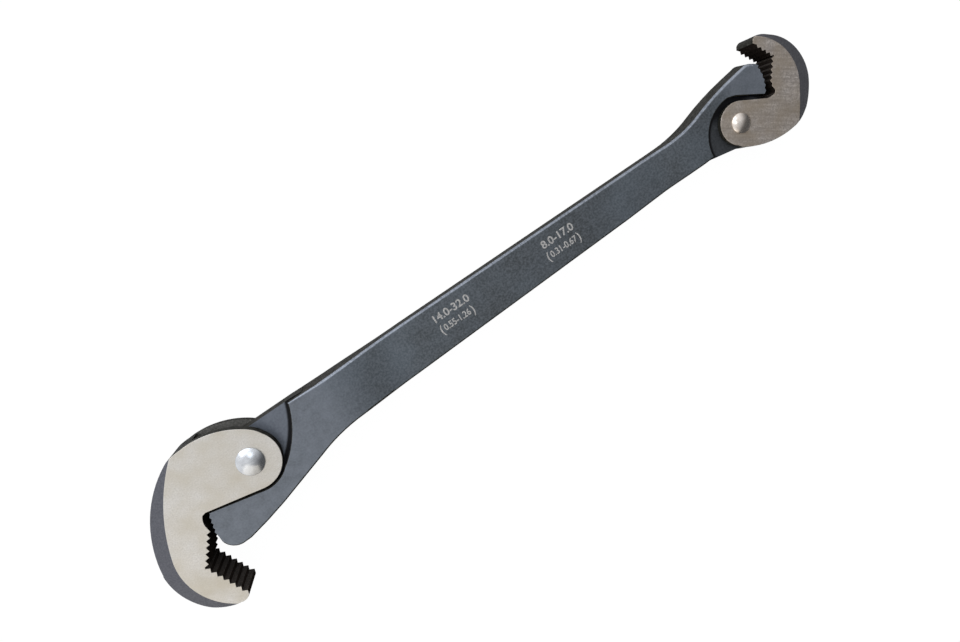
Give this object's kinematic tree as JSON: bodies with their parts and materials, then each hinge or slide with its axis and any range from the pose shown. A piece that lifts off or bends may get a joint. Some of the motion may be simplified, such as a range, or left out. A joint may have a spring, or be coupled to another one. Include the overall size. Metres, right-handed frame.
{
  "type": "double-ended self-adjusting wrench",
  "caption": "Flat forged handle with a fixed serrated jaw at each end; at each end a forked hook jaw turns on a domed rivet and springs shut to grip pipe, rod or nuts.",
  "frame": {"origin": "axis of the large pivot rivet, on the rear ground face of the large hook jaw", "axes": "+X runs along the handle from the large pivot to the small pivot; +Y is the side that the small jaws rise to; +Z is out of the front, the side of the domed rivet heads"},
  "size_m": [0.2791, 0.0602, 0.0162],
  "materials": {
    "blued_steel": "blue-black blasted forging, satin",
    "ground_steel": "bright ground faces",
    "worn_steel": "duller ground faces with grinding lines",
    "polished_steel": "polished rivet heads",
    "spring_steel": "drawn spring wire"
  },
  "bodies": {
    "handle_body": {"handle": "blued_steel", "large_return_spring": "spring_steel", "small_return_spring": "spring_steel"},
    "large_hook": {"large_hook_jaw": "ground_steel", "large_pivot_rivet": "polished_steel"},
    "small_hook": {"small_hook_jaw": "worn_steel", "small_pivot_rivet": "polished_steel"}
  },
  "joints": [
    {"name": "large_hook_pivot", "type": "hinge", "parent": "handle_body", "child": "large_hook", "pos_m": [0, 0, 0.00725], "axis": [0, 0, -1], "range_deg": [0, 90], "stiffness_Nm_per_rad": 0.08, "springref_deg": -34.38, "deforming": ["large_return_spring"]},
    {"name": "small_hook_pivot", "type": "hinge", "parent": "handle_body", "child": "small_hook", "pos_m": [0.2, 0, 0.00725], "axis": [0, 0, -1], "range_deg": [0, 90], "stiffness_Nm_per_rad": 0.03, "springref_deg": -34.38, "deforming": ["small_return_spring"]}
  ]
}
